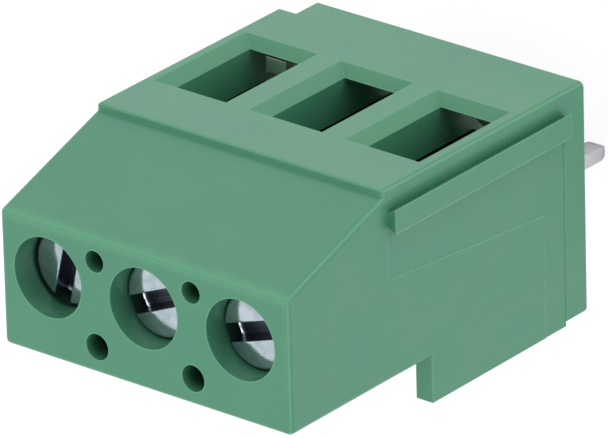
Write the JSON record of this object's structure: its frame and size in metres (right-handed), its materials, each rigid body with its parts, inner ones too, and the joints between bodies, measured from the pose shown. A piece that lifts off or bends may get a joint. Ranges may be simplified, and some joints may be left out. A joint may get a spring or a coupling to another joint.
{
  "type": "pcb screw terminal",
  "caption": "Green board terminal block with slotted screws in wells and rising clamp cages behind wire funnels.",
  "frame": {"origin": "where the middle solder pin passes the board's surface", "axes": "+Z away from the board towards the screws, -Y towards the wires, X along the poles"},
  "size_m": [0.0156, 0.0107, 0.024],
  "materials": {
    "housing_plastic": "satin",
    "plated_screw": "plated",
    "plated_cage": "nickel plated",
    "tinned_contact": "tinned"
  },
  "bodies": {
    "block": {"housing": "housing_plastic", "terminal_contact_1": "tinned_contact", "terminal_contact_2": "tinned_contact", "terminal_contact_3": "tinned_contact"},
    "screw_1": {"clamp_screw_1": "plated_screw"},
    "cage_1": {"clamp_cage_1": "plated_cage"},
    "screw_2": {"clamp_screw_2": "plated_screw"},
    "cage_2": {"clamp_cage_2": "plated_cage"},
    "screw_3": {"clamp_screw_3": "plated_screw"},
    "cage_3": {"clamp_cage_3": "plated_cage"}
  },
  "joints": [
    {"name": "screw_turn_1", "type": "hinge", "parent": "block", "child": "screw_1", "pos_m": [0.00508, -0.00034, 0.0175], "axis": [0, 0, -1], "range_deg": [-1902.4, 2334.4]},
    {"name": "cage_slide_1", "type": "slide", "parent": "block", "child": "cage_1", "axis": [0, 0, 1], "range_m": [-0.00238, 0.00292]},
    {"name": "screw_turn_2", "type": "hinge", "parent": "block", "child": "screw_2", "pos_m": [0, -0.00034, 0.0175], "axis": [0, 0, -1], "range_deg": [-118.4, 4118.4]},
    {"name": "cage_slide_2", "type": "slide", "parent": "block", "child": "cage_2", "axis": [0, 0, 1], "range_m": [-0.00015, 0.00515]},
    {"name": "screw_turn_3", "type": "hinge", "parent": "block", "child": "screw_3", "pos_m": [-0.00508, -0.00034, 0.0175], "axis": [0, 0, -1], "range_deg": [-870.4, 3366.4]},
    {"name": "cage_slide_3", "type": "slide", "parent": "block", "child": "cage_3", "axis": [0, 0, 1], "range_m": [-0.00109, 0.00421]}
  ],
  "couplings": [
    {"joint": "screw_turn_1", "follows": "cage_slide_1", "rad_per_m": 13963},
    {"joint": "screw_turn_2", "follows": "cage_slide_2", "rad_per_m": 13963},
    {"joint": "screw_turn_3", "follows": "cage_slide_3", "rad_per_m": 13963}
  ]
}
